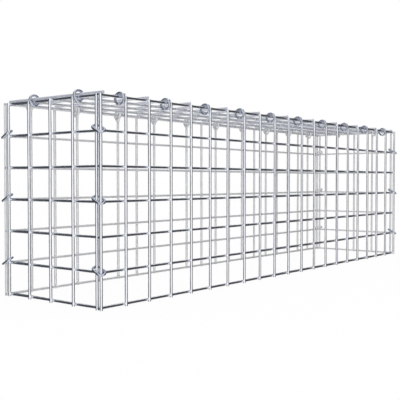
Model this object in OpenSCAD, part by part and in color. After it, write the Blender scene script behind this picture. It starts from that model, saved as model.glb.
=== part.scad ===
// Gabion basket of welded wire mesh, empty, standing with its lid closed.
// A front, a back, two ends and a lid are flat welded panels, and steel C-rings tie their edges.
// X runs along the length, the front faces -Y, Z is up and the basket stands on z = 0.

/* [Mesh] */
// Spacing of the wires, centre to centre
pitch = 50; // [40:1:60]
// Thickness of the mesh wire
wire_d = 4.5; // [3.5:0.1:5]
// Depth that one wire sinks into another at a weld
weld_sink = 0.9; // [0.5:0.1:1.2]
// Length of upright that stands below the lowest row
foot = 1; // [0.5:0.1:3]

/* [Basket] */
// Length between the outer uprights of the front, made up to whole cells
basket_long = 1000; // [700:50:1200]
// Depth between the outer uprights of an end, made up to whole cells
basket_deep = 200; // [150:50:300]
// Height between the lowest row and the top row, made up to whole cells
basket_high = 300; // [200:50:400]

/* [C-rings] */
// Thickness of the ring wire
ring_wire_d = 3.8; // [3:0.1:4]
// Room inside a ring beyond the two wires that it holds
ring_room = 0.3; // [0.2:0.1:0.6]
// Distance of a ring on a top edge from the middle of the wire beside it
ring_beside = 6.7; // [6.6:0.1:9]
// Slope of the rings on the upright corners
corner_tilt = 35; // [25:1:40]

/* [Fit] */
// Room between a wire and the one that it nests against
nest_gap = 0.25; // [0.2:0.05:0.4]
// Shortening of a cut end, so that it stops inside the wire that it is welded to
trim = 0.4; // [0.3:0.1:0.6]
// Room between the tips of a ring, side by side on a top edge and end to end on a corner
lap_gap = 0.2; // [0.1:0.05:0.4]

/* [Hidden] */
wire_r = wire_d/2;
wire_sides = 8;
wire_corner_r = wire_r/cos(180/wire_sides);
row_flat = wire_r*tan(180/wire_sides);
lay = wire_d - weld_sink;
nest = wire_d + nest_gap;

cells_long = round(basket_long/pitch);
cells_deep = round(basket_deep/pitch);
cells_high = round(basket_high/pitch);
half_long = cells_long*pitch/2;
half_deep = cells_deep*pitch/2;
uprights_long = [for (i = [0:cells_long]) i*pitch - half_long];
uprights_deep = [for (i = [0:cells_deep]) i*pitch - half_deep];
rows = [for (j = [0:cells_high]) foot + wire_r + j*pitch];
top_row = rows[cells_high];
upright_top = top_row + wire_r - trim;

// The end panels stand between the front and the back, behind their rows
front_y = half_deep + nest + lay;
long_row_y = front_y - lay;
end_row_x = half_long - lay;

// The lid drops between the end panels, so its last cell at each end is a little shorter
lid_z = top_row + wire_d;
lid_row_z = lid_z - lay;
lid_half_deep = long_row_y + row_flat + trim;
lid_row_reach = end_row_x - wire_r - nest_gap;
lid_end_x = lid_row_reach + trim - wire_r;
lid_cross = concat([-lid_end_x], [for (i = [1:cells_long - 1]) uprights_long[i]], [lid_end_x]);

// A ring on a top edge is as wide as the top row of an end and the last wire of the lid, one over the other
ring_reach = norm([end_row_x - lid_end_x, wire_d])/2;
ring_r = ring_reach + wire_corner_r + ring_room + ring_wire_d/2;
ring_arc = 198;
ring_faces = 48;
lap_tilt = asin((ring_wire_d + lap_gap)/(2*ring_r*(1 - cos(ring_arc))));

// Middles of the rings on the top edges, which hang as low as the wires inside them let them
top_ring_y = (long_row_y + half_deep)/2;
top_ring_z = lid_row_z - sqrt(pow(ring_reach, 2) - pow(top_ring_y - half_deep, 2));
end_ring_x = (end_row_x + lid_end_x)/2;
end_ring_z = lid_z - wire_r;

// A corner ring is an oval round two uprights. It slopes up towards the inside of the basket, and it is just
// high enough to pass over the row between them
uphill = 45;
corner_apart = front_y - half_deep;
corner_ring_y = (front_y + half_deep)/2;
corner_turn = atan2(cos(uphill), sin(uphill)/cos(corner_tilt));
corner_half = norm([sin(uphill)/cos(corner_tilt), cos(uphill)])*corner_apart/2;
ring_clear = wire_corner_r + ring_room + ring_wire_d/2;
bend_r = ring_clear/cos(corner_tilt);
over_row_x = bend_r*(sin(corner_turn)*cos(corner_tilt)*cos(uphill) + cos(corner_turn)*sin(uphill));
over_row_y = corner_ring_y - long_row_y;
run_slope = atan(tan(corner_tilt)*sin(uphill));
corner_rise = ring_clear/cos(run_slope)
    - (over_row_x*cos(uphill) + over_row_y*sin(uphill))*tan(corner_tilt);

// Rings on each edge, and the wire beside which one of them sits when they share the edge evenly
long_rings = 10;
deep_rings = 2;
high_rings = 3;
function ring_wire(i, rings, cells) = round((i - 0.5)*cells/rings);

mesh_colour = [0.80, 0.81, 0.84];
ring_colour = [0.76, 0.78, 0.83];

// One straight wire along Z, with flats towards X and Y.
module wire(length) {
    rotate([0, 0, 180/wire_sides])
        cylinder(h = length, r = wire_corner_r, $fn = wire_sides);
}

// A welded panel flat in XY: wires along Y at the given x, and rows along X laid behind them.
module mesh_panel(wire_x, wire_from, wire_to, row_y, row_reach) {
    for (x = wire_x)
        translate([x, wire_from, 0])
            rotate([-90, 0, 0])
                wire(wire_to - wire_from);
    for (y = row_y)
        translate([-row_reach, y, -lay])
            rotate([0, 90, 0])
                wire(2*row_reach);
}

// The front and the back: uprights outside, rows inside.
module long_panel() {
    color(mesh_colour)
        translate([0, -front_y, 0])
            rotate([90, 0, 0])
                mesh_panel(uprights_long, 0, upright_top, rows, half_long + wire_r - trim);
}

// The two ends, made like the front.
module end_panel() {
    color(mesh_colour)
        translate([-half_long, 0, 0])
            rotate([90, 0, -90])
                mesh_panel(uprights_deep, 0, upright_top, rows, half_deep + wire_r - trim);
}

// The lid: its cross wires lie on the top rows of the front and back, its rows nest inside them.
module lid_panel() {
    color(mesh_colour)
        translate([0, 0, lid_z])
            mesh_panel(lid_cross, -lid_half_deep, lid_half_deep, uprights_deep, lid_row_reach);
}

// A round C-ring in XY, closed so that its two ends lap side by side on the -X side.
module c_ring() {
    color(ring_colour)
        for (side = [-1, 1])
            translate([ring_r, 0, 0])
                rotate([0, side*lap_tilt, 0])
                    translate([-ring_r, 0, 0])
                        rotate([side < 0 ? 180 : 0, 0, 0])
                            ring_bend(ring_r, ring_arc);
}

// A C-ring in XY drawn tight to an oval along X, with its tips end to end in the straight run on the -Y side.
module oval_ring() {
    color(ring_colour) {
        for (side = [-1, 1]) {
            translate([side*corner_half, 0, 0])
                rotate([0, 0, -side*90])
                    ring_bend(bend_r, 180);
            translate([side < 0 ? -corner_half : lap_gap/2, -bend_r, 0])
                ring_run(corner_half - lap_gap/2);
        }
        translate([-corner_half, bend_r, 0])
            ring_run(2*corner_half);
    }
}

// A bend of ring wire in XY round the origin.
module ring_bend(r, turn) {
    rotate_extrude(angle = turn, $fn = ring_faces)
        translate([r, 0])
            circle(d = ring_wire_d, $fn = ring_faces);
}

// A straight run of ring wire along X.
module ring_run(length) {
    rotate([0, 90, 0])
        cylinder(h = length, d = ring_wire_d, $fn = ring_faces);
}

// A ring on the front top edge, beside an upright, with its lap hanging down.
module front_top_ring(i) {
    translate([uprights_long[ring_wire(i, long_rings, cells_long)] - ring_beside, -top_ring_y, top_ring_z])
        rotate([0, -90, 0])
            c_ring();
}

// A ring on the left top edge, in front of an upright.
module left_top_ring(i) {
    translate([-end_ring_x, uprights_deep[ring_wire(i, deep_rings, cells_deep)] - ring_beside, end_ring_z])
        rotate([0, -90, 90])
            c_ring();
}

// A ring round the two uprights of a corner, low on the outside and with its tips inside.
module front_left_ring(i) {
    translate([-half_long, -corner_ring_y, rows[ring_wire(i, high_rings, cells_high)] + corner_rise])
        rotate([0, -corner_tilt, uphill])
            rotate([0, 0, corner_turn])
                oval_ring();
}

long_panel();  // front_panel
mirror([0, 1, 0]) long_panel();  // back_panel
end_panel();  // left_end_panel
mirror([1, 0, 0]) end_panel();  // right_end_panel
lid_panel();
for (i = [1:long_rings]) {
    front_top_ring(i);
    mirror([0, 1, 0]) front_top_ring(i);
}
for (i = [1:deep_rings]) {
    left_top_ring(i);
    mirror([1, 0, 0]) left_top_ring(i);
}
for (i = [1:high_rings]) {
    front_left_ring(i);
    mirror([1, 0, 0]) front_left_ring(i);
    mirror([0, 1, 0]) front_left_ring(i);
    mirror([1, 0, 0]) mirror([0, 1, 0]) front_left_ring(i);
}
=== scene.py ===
"""Dresses the gabion basket: round drawn wire, weld beads, sheared ends and lapped C-rings."""

import math

import bpy
import numpy as np
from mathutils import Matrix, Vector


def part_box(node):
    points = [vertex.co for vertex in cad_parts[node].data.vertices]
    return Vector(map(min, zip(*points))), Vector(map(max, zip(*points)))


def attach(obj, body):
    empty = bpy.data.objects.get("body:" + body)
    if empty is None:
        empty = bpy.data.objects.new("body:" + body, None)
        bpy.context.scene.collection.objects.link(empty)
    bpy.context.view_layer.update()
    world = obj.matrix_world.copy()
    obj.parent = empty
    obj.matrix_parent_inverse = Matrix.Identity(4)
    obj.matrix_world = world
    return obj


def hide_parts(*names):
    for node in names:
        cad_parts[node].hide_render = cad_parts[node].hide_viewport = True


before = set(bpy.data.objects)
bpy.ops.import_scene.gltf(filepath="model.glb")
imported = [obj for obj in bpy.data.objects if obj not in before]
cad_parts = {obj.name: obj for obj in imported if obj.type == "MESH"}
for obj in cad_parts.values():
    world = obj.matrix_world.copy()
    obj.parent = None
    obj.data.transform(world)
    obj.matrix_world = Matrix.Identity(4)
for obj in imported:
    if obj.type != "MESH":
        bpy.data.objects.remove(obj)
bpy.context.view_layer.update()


# Front panel
# Drawn steel wire with a bright zinc coat, cut with a shear and resistance welded wherever an upright
# crosses a row. The uprights lie outside and the rows inside, so stones press the rows against the uprights.

MM = 0.001
X, Y, Z = np.eye(3)
wire_r = 2.25*MM
wire_sides = 14
end_trim = 0.4*MM
cells_long = 20
cells_high = 6
front_low, front_high = (np.array(corner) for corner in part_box("front_panel"))
pitch = (front_high[0] - front_low[0] - 2*wire_r)/cells_long
front_upright_y = front_low[1] + wire_r
front_row_y = front_high[1] - wire_r
upright_x = front_low[0] + wire_r + pitch*np.arange(cells_long + 1)
top_row_z = front_high[2] - wire_r
row_z = top_row_z - pitch*np.arange(cells_high, -1, -1)
upright_length = top_row_z + wire_r - end_trim
long_row_start = front_low[0] + end_trim
long_row_length = front_high[0] - front_low[0] - 2*end_trim
chance = np.random.default_rng(41)


def weld_stations(length, welds):
    """Distances along a wire: both blunt ends, a close set at each weld and a few between them."""
    near = np.array([0, 0.8, 1.6, 2.4, 3.4, 4.8])*MM
    blunt = np.array([0, 0.25, 0.7])*MM
    step = 12*MM
    at_welds = (welds[:, None] + np.concatenate([-near[:0:-1], near])[None, :]).ravel()
    between = np.linspace(0, length, max(int(length/step), 2) + 1)
    every = np.concatenate([at_welds, between, blunt, length - blunt])
    return np.unique(np.round(every[(every >= 0) & (every <= length)], 6))


def drawn_wires(starts, along, out, length, welds):
    """Parallel round wires as a grid of distance by angle, with one layer of it for each wire.

    The radius is that of the drawn wire. It swells a little at each weld, where the hot wire was squeezed,
    is pressed flatter on the side of the electrode, and is chamfered at the sheared ends. Each wire bows by
    three slow sines of its length, a fraction of a millimetre, as wire straightened off a coil does. The UV
    map is the distance along the wire, from a start of its own, and the distance round it.
    """
    heat_reach, swell, press = 1.9*MM, 0.022, 0.07
    chamfer_long, chamfer_share = 0.25*MM, 0.16
    bow_size, bow_outward = 0.16*MM, 0.5
    waves = np.arange(1, 4)
    across = np.cross(along, out)
    distance = weld_stations(length, welds)
    angle = np.linspace(0, 2*np.pi, wire_sides, endpoint=False)
    heat = np.exp(-((distance[:, None] - welds[None, :])/heat_reach)**2).sum(axis=1)
    from_end = np.minimum(distance, length - distance)
    chamfer = 1 - chamfer_share*np.clip(1 - from_end/chamfer_long, 0, 1)
    pressed = np.clip(np.cos(angle), 0, 1)[None, :]**2
    radius = wire_r*chamfer[:, None]*(1 + heat[:, None]*(swell - press*pressed))
    section = radius[:, :, None]*(np.cos(angle)[None, :, None]*out + np.sin(angle)[None, :, None]*across)
    bow = bow_size*chance.normal(size=(len(starts), 2, len(waves)))
    phase = np.pi*waves[:, None]*distance[None, :]/length
    sway = np.einsum("wck,ks->wcs", bow/waves, np.sin(phase))
    middle = starts[:, None, :] + distance[None, :, None]*along
    middle = middle + sway[:, 0, :, None]*out*bow_outward + sway[:, 1, :, None]*across
    points = middle[:, :, None, :] + section[None, :, :, :]
    own_start = chance.random((len(starts), 1, 1))
    lengthwise = np.broadcast_to(distance[None, :, None], points.shape[:3]) + own_start
    around = np.broadcast_to(angle[None, None, :]*wire_r, points.shape[:3])
    return points, np.stack([lengthwise, around], axis=-1)


def weld_beads(centres, along, across, out):
    """Squeezed-out metal at the crossings: flat ellipsoids, each a grid of latitude by angle.

    The middle sits between the two wires, so only four small fillets show in the corners of a crossing.
    """
    bead_reach, bead_depth, bead_spread = 2.35*MM, 1.15*MM, 0.12
    bead_sides = 10
    latitude = np.radians([-64, -34, 0, 34, 64])[:, None, None]
    angle = np.linspace(0, 2*np.pi, bead_sides, endpoint=False)[None, :, None]
    size = 1 + bead_spread*chance.normal(size=(len(centres), 2))
    reach = bead_reach*size[:, 0, None, None, None]
    depth = bead_depth*size[:, 1, None, None, None]
    flat = np.cos(latitude)*(np.cos(angle)*along + np.sin(angle)*across)
    points = centres[:, None, None, :] + reach*flat + depth*np.sin(latitude)*out
    return points, points[..., :2]


def grid_object(name, blocks):
    """One object from blocks of closed tubes, each with its material.

    A block has points by tube, station and angle. A quad joins each station to the next all round, and the
    first and last rings are filled with one face. Where a round closes, the UV map goes on by one turn of
    the mesh wire.
    """
    materials = list(dict.fromkeys(material for _, material in blocks))
    points, faces, flow, smooth, slot_of = [], [], [], [], []
    first = 0
    for (block, uv), material in blocks:
        tubes, stations, sides = block.shape[:3]
        index = first + np.arange(tubes*stations*sides).reshape(tubes, stations, sides)
        here, beyond = index[:, :-1], index[:, 1:]
        quads = np.stack([here, np.roll(here, -1, 2), np.roll(beyond, -1, 2), beyond], -1).reshape(-1, 4)
        caps = np.concatenate([index[:, 0, ::-1], index[:, -1]])
        faces += quads.tolist() + caps.tolist()
        flat_uv = uv.reshape(-1, 2)
        closing = np.zeros((tubes, stations - 1, sides, 4, 2))
        closing[:, :, -1, 1:3, 1] = 2*np.pi*wire_r
        flow += [(flat_uv[quads - first] + closing.reshape(-1, 4, 2)).reshape(-1, 2)]
        flow += [flat_uv[caps - first].reshape(-1, 2)]
        smooth += [np.ones(len(quads), bool), np.zeros(len(caps), bool)]
        slot_of += [np.full(len(quads) + len(caps), materials.index(material))]
        points.append(block.reshape(-1, 3))
        first += tubes*stations*sides
    mesh = bpy.data.meshes.new(name)
    mesh.from_pydata(np.concatenate(points), [], faces)
    mesh.uv_layers.new(name="along_wire").data.foreach_set("uv", np.concatenate(flow).ravel())
    mesh.polygons.foreach_set("use_smooth", np.concatenate(smooth))
    mesh.polygons.foreach_set("material_index", np.concatenate(slot_of))
    for material in materials:
        mesh.materials.append(material)
    mesh.update()
    piece = bpy.data.objects.new(name, mesh)
    bpy.context.scene.collection.objects.link(piece)
    return piece


def welded_panel(name, wires, rows, wire_zinc, row_zinc):
    """A panel from its wires and its rows, each given as starts, direction, outward side and length.

    Welds lie where the two sets cross, halfway between their axes.
    """
    wire_starts, wire_along, wire_out, wire_length = wires
    row_starts, row_along, row_out, row_length = rows
    wire_welds = (row_starts - wire_starts[0]) @ wire_along
    row_welds = (wire_starts - row_starts[0]) @ row_along
    half_lay = ((row_starts[0] - wire_starts[0]) @ wire_out)/2
    beads = wire_starts[:, None, :] + wire_welds[None, :, None]*wire_along
    beads = (beads + half_lay*wire_out).reshape(-1, 3)
    return grid_object(name, [
        (drawn_wires(wire_starts, wire_along, wire_out, wire_length, wire_welds), wire_zinc),
        (drawn_wires(row_starts, row_along, row_out, row_length, row_welds), row_zinc),
        (weld_beads(beads, wire_along, row_along, np.cross(wire_along, row_along)), mesh_weld),
    ])


def starts_at(x, y, z):
    """Start points as rows of x, y, z, with single numbers repeated to the length of the longest."""
    parts = [np.atleast_1d(part).astype(float) for part in (x, y, z)]
    return np.stack(np.broadcast_arrays(*parts), axis=-1)


def linear(hex_colour):
    """sRGB hex to the linear RGBA that shader sockets take."""
    part = np.array([int(hex_colour[i:i + 2], 16) for i in (1, 3, 5)])/255
    light = np.where(part <= 0.04045, part/12.92, ((part + 0.055)/1.055)**2.4)
    return (*light, 1.0)


def add(tree, kind, values=None, links=None):
    """Adds one node, sets its sockets and properties by name, and links the given outputs to its inputs."""
    made = tree.nodes.new(kind)
    for key, value in (values or {}).items():
        if isinstance(key, str) and hasattr(made, key):
            setattr(made, key, value)
        else:
            made.inputs[key].default_value = value
    for key, output in (links or {}).items():
        tree.links.new(output, made.inputs[key])
    return made


def zinc_coated_wire(name, bright, dull, smoothest, roughest, metal):
    """Galvanised drawn steel wire.

    The zinc is wiped smooth as the wire leaves the bath and is then drawn through a die, so the eye sees a
    soft mirror with cloudy dull patches about a centimetre long, and die lines along the wire, drawn coarser
    than real ones, which are too fine to show. A lower share of metal, with the colours given, makes a paler,
    duller copy of the same zinc: painted paler light on wires of the same coat.
    """
    material = bpy.data.materials.new(name)
    material.use_nodes = True
    tree = material.node_tree
    tree.nodes.clear()
    place = add(tree, "ShaderNodeTexCoord")
    patch_size = 9*MM
    bright_below, dull_above = 0.36, 0.66
    patches = add(tree, "ShaderNodeTexNoise", {"Scale": 1/patch_size, "Detail": 3.0, "Roughness": 0.55},
                  {"Vector": place.outputs["Object"]})
    spread = add(tree, "ShaderNodeMapRange", {"From Min": bright_below, "From Max": dull_above},
                 {"Value": patches.outputs["Fac"]})
    tone = add(tree, "ShaderNodeMix", {"data_type": "RGBA", 6: linear(bright), 7: linear(dull)},
               {"Factor": spread.outputs["Result"]})
    line_long, line_wide, line_deep = 30*MM, 0.45*MM, 0.03*MM
    stretch = add(tree, "ShaderNodeMapping", {"Scale": (1/line_long, 1/line_wide, 1.0)},
                  {"Vector": place.outputs["UV"]})
    die_lines = add(tree, "ShaderNodeTexNoise", {"Scale": 1.0, "Detail": 2.0},
                    {"Vector": stretch.outputs["Vector"]})
    bump = add(tree, "ShaderNodeBump", {"Strength": 0.05, "Distance": line_deep},
               {"Height": die_lines.outputs["Fac"]})
    gloss = add(tree, "ShaderNodeMapRange", {"To Min": smoothest, "To Max": roughest},
                {"Value": spread.outputs["Result"]})
    shader = add(tree, "ShaderNodeBsdfPrincipled", {"Metallic": metal},
                 {"Base Color": tone.outputs[2], "Roughness": gloss.outputs["Result"],
                  "Normal": bump.outputs["Normal"]})
    add(tree, "ShaderNodeOutputMaterial", links={"Surface": shader.outputs["BSDF"]})
    return material


def weld_scale(name, burnt, bare):
    """Metal squeezed out at a weld: the zinc has burnt off, which leaves it matt and a little darker."""
    material = bpy.data.materials.new(name)
    material.use_nodes = True
    tree = material.node_tree
    tree.nodes.clear()
    place = add(tree, "ShaderNodeTexCoord")
    crust_size, crust_deep = 1.2*MM, 0.2*MM
    smoothest, roughest = 0.42, 0.62
    crust = add(tree, "ShaderNodeTexNoise", {"Scale": 1/crust_size, "Detail": 3.0},
                {"Vector": place.outputs["Object"]})
    tone = add(tree, "ShaderNodeMix", {"data_type": "RGBA", 6: linear(burnt), 7: linear(bare)},
               {"Factor": crust.outputs["Fac"]})
    gloss = add(tree, "ShaderNodeMapRange", {"To Min": smoothest, "To Max": roughest},
                {"Value": crust.outputs["Fac"]})
    bump = add(tree, "ShaderNodeBump", {"Strength": 0.5, "Distance": crust_deep},
               {"Height": crust.outputs["Fac"]})
    shader = add(tree, "ShaderNodeBsdfPrincipled", {"Metallic": 1.0},
                 {"Base Color": tone.outputs[2], "Roughness": gloss.outputs["Result"],
                  "Normal": bump.outputs["Normal"]})
    add(tree, "ShaderNodeOutputMaterial", links={"Surface": shader.outputs["BSDF"]})
    return material


mesh_weld = weld_scale("burnt_weld_metal", burnt="#8C8E94", bare="#B9BCC4")
bright_zinc = zinc_coated_wire("bright_galvanised_wire", "#F7F9FE", "#EDF0F7",
                               smoothest=0.13, roughest=0.2, metal=1.0)
front_wires = welded_panel(
    "front_panel_wires",
    (starts_at(upright_x, front_upright_y, 0), Z, -Y, upright_length),
    (starts_at(long_row_start, front_row_y, row_z), X, Y, long_row_length),
    bright_zinc, bright_zinc)
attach(front_wires, "root")
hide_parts("front_panel")


# Back panel
# The same mesh turned to face the other way, so that its uprights are outside again. Its zinc is a paler,
# duller copy of the front's, which paints on the paler light these wires show.

panel_zinc_painted_paler = zinc_coated_wire("galvanised_wire_painted_paler", "#F0F1F2", "#E5E6E8",
                              smoothest=0.34, roughest=0.42, metal=0.5)
back_low, back_high = (np.array(corner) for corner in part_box("back_panel"))
back_wires = welded_panel(
    "back_panel_wires",
    (starts_at(upright_x, back_high[1] - wire_r, 0), Z, Y, upright_length),
    (starts_at(long_row_start, back_low[1] + wire_r, row_z), X, -Y, long_row_length),
    panel_zinc_painted_paler, panel_zinc_painted_paler)
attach(back_wires, "root")
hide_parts("back_panel")


# End panels
# Two short pieces of the same welded mesh, the left one in the bright zinc and the right one in the paler,
# duller copy of it, whose paler look is painted light. They stand between the front and the back, with their
# outer uprights against the insides of the long rows, where the corner rings catch both.

cells_deep = 4
left_low, left_high = (np.array(corner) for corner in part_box("left_end_panel"))
right_low, right_high = (np.array(corner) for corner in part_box("right_end_panel"))
deep_y = left_low[1] + wire_r + pitch*np.arange(cells_deep + 1)
deep_row_start = left_low[1] + end_trim
deep_row_length = left_high[1] - left_low[1] - 2*end_trim
left_wires = welded_panel(
    "left_end_wires",
    (starts_at(left_low[0] + wire_r, deep_y, 0), Z, -X, upright_length),
    (starts_at(left_high[0] - wire_r, deep_row_start, row_z), Y, X, deep_row_length),
    bright_zinc, bright_zinc)
# The right end takes the paler, duller copy of the zinc: painted paler light.
right_wires = welded_panel(
    "right_end_wires",
    (starts_at(right_high[0] - wire_r, deep_y, 0), Z, X, upright_length),
    (starts_at(right_low[0] + wire_r, deep_row_start, row_z), Y, -X, deep_row_length),
    panel_zinc_painted_paler, panel_zinc_painted_paler)
for end_wires, end_node in ((left_wires, "left_end_panel"), (right_wires, "right_end_panel")):
    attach(end_wires, "root")
    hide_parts(end_node)


# Lid
# One more welded panel, dropped between the ends. Its cross wires lie on the top rows of the front and the
# back, and its long rows hang below them, just inside those rows. Both are copies of one zinc: the cross
# wires in a paler bluish satin, painted paler light, and the rows in a greyer, more metallic one, painted
# shade.

lid_cross_zinc_painted_paler = zinc_coated_wire("lid_cross_wire_painted_paler", "#ECEFF8", "#E0E3EE",
                                  smoothest=0.3, roughest=0.38, metal=0.48)
lid_row_zinc_painted_light_and_shade = zinc_coated_wire("lid_row_wire_painted_light_and_shade", "#EBEDF1", "#DEE0E5",
                                smoothest=0.22, roughest=0.3, metal=0.62)
lid_low, lid_high = (np.array(corner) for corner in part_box("lid_panel"))
lid_cross_x = upright_x.copy()
lid_cross_x[0] = lid_low[0] + wire_r
lid_cross_x[-1] = lid_high[0] - wire_r
lid_cross_length = lid_high[1] - lid_low[1]
lid_row_length = lid_high[0] - lid_low[0] - 2*end_trim
lid_wires = welded_panel(
    "lid_wires",
    (starts_at(lid_cross_x, lid_low[1], lid_high[2] - wire_r), Y, Z, lid_cross_length),
    (starts_at(lid_low[0] + end_trim, deep_y, lid_low[2] + wire_r), X, -Z, lid_row_length),
    lid_cross_zinc_painted_paler, lid_row_zinc_painted_light_and_shade)
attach(lid_wires, "root")
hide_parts("lid_panel")


# C-rings
# Short lengths of hard galvanised wire with sharpened tips, closed with a ring gun round the two wires of
# an edge. Ten tie each long top edge, two each end, three each corner.

long_rings, deep_rings, high_rings = 10, 2, 3
ring_wire_r = 1.9*MM
ring_sides = 14
ring_room = 0.3*MM
lap_gap = 0.2*MM
# The darker grey-blue of the rings on the front, the left end and three corners is painted shade for the
# darker look of their outlines; the paler, duller ring zinc of the back, the right end and the back right
# corner is painted paler light.
ring_zinc_painted_shade = zinc_coated_wire("ring_wire_painted_shade", "#D2D7E3", "#B6BCCA",
                               smoothest=0.1, roughest=0.18, metal=1.0)
ring_zinc_painted_paler = zinc_coated_wire("ring_wire_painted_paler", "#E9EAED", "#DCDDE1",
                              smoothest=0.34, roughest=0.42, metal=0.4)


def lapped_path(ring_r, hand):
    """Middle line of a round ring whose tips pass each other, from one tip over the crown to the other.

    It is a circle through the crown. Each half leans out of the circle's plane in proportion to its drop
    below the crown, one to each side, so that the tips lie side by side, and the lap is drawn out to a
    blunt point. hand says to which side the half that goes the positive way leans.
    """
    arc = math.radians(198)
    stations = 73
    point_size, point_spread = 0.9*MM, 0.38
    lean = math.asin((2*ring_wire_r + lap_gap)/(2*ring_r*(1 - math.cos(arc))))
    angle = np.linspace(-arc, arc, stations)
    drop = ring_r*(1 - np.cos(angle))
    point = point_size*np.exp(-((np.abs(angle) - np.pi)/point_spread)**2)
    return np.stack([ring_r - drop*math.cos(lean) - point,
                     ring_r*np.sin(angle),
                     hand*np.sign(angle)*drop*math.sin(lean)], axis=-1)


def oval_path(half, bend_r):
    """Middle line of a ring drawn tight round two wires.

    It is a half turn at each end and a straight run on each side. The tips meet end to end in the middle of
    the run on the negative side.
    """
    stations = 72
    angle = np.linspace(-np.pi/2, 1.5*np.pi, stations)
    shift = np.where(angle < np.pi/2, half, -half)
    bends = np.stack([shift + bend_r*np.cos(angle), bend_r*np.sin(angle), 0*angle], axis=-1)
    from_tip = lap_gap/2 + np.array([0, 0.5, 1.1, 1.8])*MM
    run = np.stack([from_tip, np.full_like(from_tip, -bend_r), 0*from_tip], axis=-1)
    return np.concatenate([run, bends, run[::-1]*[-1, 1, 1]])


def fit_ring(node, path, turn, middle, finish):
    """Carries a round profile along a ring's middle line, sharpens its tips and ties it to the basket.

    turn holds the directions of the path's own axes as rows.
    """
    sharp_long, sharp_share, sharp_curve = 1.8*MM, 0.6, 1.4
    tangent = np.gradient(path, axis=0)
    tangent /= np.linalg.norm(tangent, axis=1, keepdims=True)
    up = Z - (tangent @ Z)[:, None]*tangent
    up /= np.linalg.norm(up, axis=1, keepdims=True)
    side = np.cross(up, tangent)
    step = np.linalg.norm(np.diff(path, axis=0), axis=1)
    length = np.concatenate([[0], np.cumsum(step)])
    from_tip = np.minimum(length, length[-1] - length)
    radius = ring_wire_r*(1 - sharp_share*np.clip(1 - from_tip/sharp_long, 0, 1)**sharp_curve)
    around = np.linspace(0, 2*np.pi, ring_sides, endpoint=False)
    section = np.cos(around)[None, :, None]*side[:, None, :] + np.sin(around)[None, :, None]*up[:, None, :]
    local = path[:, None, :] + radius[:, None, None]*section
    points = (local @ np.array(turn) + np.array(middle))[None]
    lengthwise = np.broadcast_to(length[None, :, None], points.shape[:3]) + chance.random()
    spin = np.broadcast_to((ring_wire_r*around)[None, None, :], points.shape[:3])
    shape = points, np.stack([lengthwise, spin], axis=-1)
    ring = grid_object(node + "_wire", [(shape, finish)])
    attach(ring, "root")
    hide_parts(node)


# The rings of the top edges hang from the lid, with the lap below. Those of the ends have turned a little.
end_ring_turn = math.radians(12)
turned_x = math.cos(end_ring_turn)*X
turned_y = math.sin(end_ring_turn)*Y
first_low, first_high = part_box("front_top_ring_1")
top_ring_r = (first_high[1] - first_low[1])/2 - ring_wire_r
for edge, count, way, hand, finish in (
        ("front", long_rings, Y, 1, ring_zinc_painted_shade), ("back", long_rings, -Y, -1, ring_zinc_painted_paler),
        ("left", deep_rings, turned_y - turned_x, 1, ring_zinc_painted_shade),
        ("right", deep_rings, turned_y + turned_x, -1, ring_zinc_painted_paler)):
    for number in range(1, count + 1):
        node_name = f"{edge}_top_ring_{number}"
        low, high = (np.array(corner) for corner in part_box(node_name))
        centre = (low + high)/2
        centre[2] = high[2] - ring_wire_r - top_ring_r
        fit_ring(node_name, lapped_path(top_ring_r, hand), [Z, way, np.cross(Z, way)], centre, finish)

# The corner rings are ovals that slope up towards the inside, over the row between the two uprights. They
# are as wide as the eight-sided wire of the solids needs.
solid_wire_sides = 8
corner_slope = math.radians(35)
slope_run = math.cos(corner_slope)
slope_rise = math.sin(corner_slope)
corner_half = math.hypot(1/slope_run, 1)/math.sqrt(2)*(deep_y[0] - front_upright_y)/2
bend_r = (wire_r/math.cos(math.pi/solid_wire_sides) + ring_room + ring_wire_r)/slope_run
corner_y = (front_upright_y + deep_y[0])/2
for edge, in_x, in_y, finish in (
        ("front_left", 1, 1, ring_zinc_painted_shade), ("front_right", -1, 1, ring_zinc_painted_shade),
        ("back_left", 1, -1, ring_zinc_painted_shade), ("back_right", -1, -1, ring_zinc_painted_paler)):
    inwards = (in_x*X + in_y*Y)/math.sqrt(2)
    flat = np.cross(Z, inwards)*in_x*in_y
    crown = slope_run*inwards + slope_rise*Z
    along = crown/slope_run + flat
    along /= np.linalg.norm(along)
    axis = slope_run*Z - slope_rise*inwards
    outwards = np.cross(axis, along)*in_x*in_y
    turn = [along, outwards, np.cross(along, outwards)]
    for number in range(1, high_rings + 1):
        node_name = f"{edge}_ring_{number}"
        low, high = (np.array(corner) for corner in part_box(node_name))
        centre = np.array([in_x*upright_x[0], in_y*corner_y, (low[2] + high[2])/2])
        fit_ring(node_name, oval_path(corner_half, bend_r), turn, centre, finish)


# Studio
# A pale floor under an even white sky, a soft lamp behind the camera, and two curved grey cards. Mirror-like
# metal sees the cards and the sky alone, as bright wire on white is flagged to show its edges.

def sheet(name, points, material):
    """A stage surface from a grid of points, with a quad between each four neighbours."""
    index = np.arange(points.shape[0]*points.shape[1]).reshape(points.shape[:2])
    quads = np.stack([index[:-1, :-1], index[1:, :-1], index[1:, 1:], index[:-1, 1:]], axis=-1)
    mesh = bpy.data.meshes.new(name)
    mesh.from_pydata(points.reshape(-1, 3), [], quads.reshape(-1, 4).tolist())
    mesh.materials.append(material)
    piece = bpy.data.objects.new(name, mesh)
    bpy.context.scene.collection.objects.link(piece)
    return piece


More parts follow.
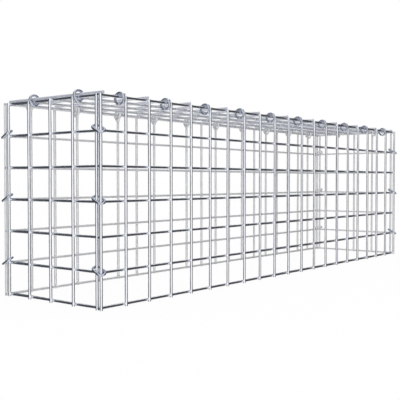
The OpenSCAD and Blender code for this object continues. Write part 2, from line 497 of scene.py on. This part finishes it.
def pale_floor():
    """Matt white paint, shown mostly as plain white so that only a faint shadow stays on it."""
    material = bpy.data.materials.new("matt_white_floor")
    material.use_nodes = True
    tree = material.node_tree
    tree.nodes.clear()
    plain_share = 0.93
    paint = add(tree, "ShaderNodeBsdfDiffuse", {"Color": linear("#F4F4F4")})
    plain = add(tree, "ShaderNodeEmission", {"Color": linear("#FFFFFF"), "Strength": 1.0})
    ray = add(tree, "ShaderNodeLightPath")
    mirrored = add(tree, "ShaderNodeMath", {"operation": "MAXIMUM"},
                   {0: ray.outputs["Is Glossy Ray"], 1: ray.outputs["Is Transmission Ray"]})
    seen = add(tree, "ShaderNodeMath", {"operation": "MAXIMUM"},
               {0: ray.outputs["Is Camera Ray"], 1: mirrored.outputs["Value"]})
    share = add(tree, "ShaderNodeMath", {"operation": "MULTIPLY", 1: plain_share},
                {0: seen.outputs["Value"]})
    both = add(tree, "ShaderNodeMixShader",
               links={0: share.outputs["Value"], 1: paint.outputs["BSDF"], 2: plain.outputs["Emission"]})
    add(tree, "ShaderNodeOutputMaterial", links={"Surface": both.outputs["Shader"]})
    return material


def grey_card(name, hex_colour):
    """An even grey card, with its grey given as it should look."""
    material = bpy.data.materials.new(name)
    material.use_nodes = True
    tree = material.node_tree
    tree.nodes.clear()
    glow = add(tree, "ShaderNodeEmission", {"Color": linear(hex_colour), "Strength": 1.0})
    add(tree, "ShaderNodeOutputMaterial", links={"Surface": glow.outputs["Emission"]})
    return material


floor_reach = 60.0
floor_x, floor_y = np.meshgrid([-floor_reach, floor_reach], [-floor_reach, floor_reach], indexing="ij")
floor = sheet("floor", np.stack([floor_x, floor_y, 0*floor_x], axis=-1), pale_floor())
floor.visible_glossy = False

card_radius = 2.6
card_middle = 0.16
card_half_high = 3.4
card_bearings, card_heights = 24, 35
card_rise = np.linspace(-card_half_high, card_half_high, card_heights)
from_middle = np.abs(card_rise)


def curved_card(name, grey, first, last):
    """An upright card on a circle round the basket, a grid of bearing by height.

    first and last are the bearings of its two ends in degrees from X, as one number or for each height.
    """
    share = np.linspace(0, 1, card_bearings)[:, None]
    turn = np.radians(first + share*(last - first))
    height = np.broadcast_to(card_middle + card_rise, turn.shape)
    points = np.stack([card_radius*np.cos(turn), card_radius*np.sin(turn), height], axis=-1)
    return sheet(name, points, grey_card(name + "_grey", grey))


# The ends that face each other slant apart above and below, by so many degrees a metre, which gives the rows
# of the mesh a light edge along their top and bottom.
right_from, right_to, right_slant = -88, 36, 12
left_from, left_to, left_slant = 42, 174, 21
right_card = curved_card("right_card", "#4B4B4C", right_from, right_to - right_slant*from_middle)
left_card = curved_card("left_card", "#494B50", left_from + left_slant*from_middle, left_to)
for card in (right_card, left_card):
    card.visible_camera = False
    card.visible_diffuse = False
    card.visible_transmission = False
    card.visible_shadow = False

world = bpy.data.worlds.new("white_sky")
bpy.context.scene.world = world
world.use_nodes = True
world.node_tree.nodes.clear()
sky = add(world.node_tree, "ShaderNodeBackground", {"Color": linear("#FFFFFF"), "Strength": 1.0})
add(world.node_tree, "ShaderNodeOutputWorld", links={"Surface": sky.outputs["Background"]})

# Camera, placed by fitting the wires in the photograph.
camera_at = np.array([-1.1912, -0.8346, 0.1826])
camera_heading = math.radians(51.52)
camera_pitch = math.radians(-1.54)
focal_pixels = 711.0
frame_pixels = 400
camera_data = bpy.data.cameras.new("camera")
camera_data.sensor_width = 36.0
camera_data.lens = camera_data.sensor_width*focal_pixels/frame_pixels
camera = bpy.data.objects.new("camera", camera_data)
camera.location = camera_at
camera.rotation_euler = (math.pi/2 + camera_pitch, 0, -camera_heading)
bpy.context.scene.collection.objects.link(camera)
bpy.context.scene.camera = camera

# Lamp, behind the camera and turned the same way.
lamp_at = (-2.0, -1.6, 0.75)
lamp_tilt = math.radians(80)
lamp_data = bpy.data.lights.new("front_softbox", "AREA")
lamp_data.shape = "RECTANGLE"
lamp_data.size = 1.8
lamp_data.size_y = 1.4
lamp_data.energy = 8.0
lamp = bpy.data.objects.new("front_softbox", lamp_data)
lamp.location = lamp_at
lamp.rotation_euler = (lamp_tilt, 0, -camera_heading)
lamp.visible_glossy = False
bpy.context.scene.collection.objects.link(lamp)

bpy.context.scene.view_settings.view_transform = "Standard"
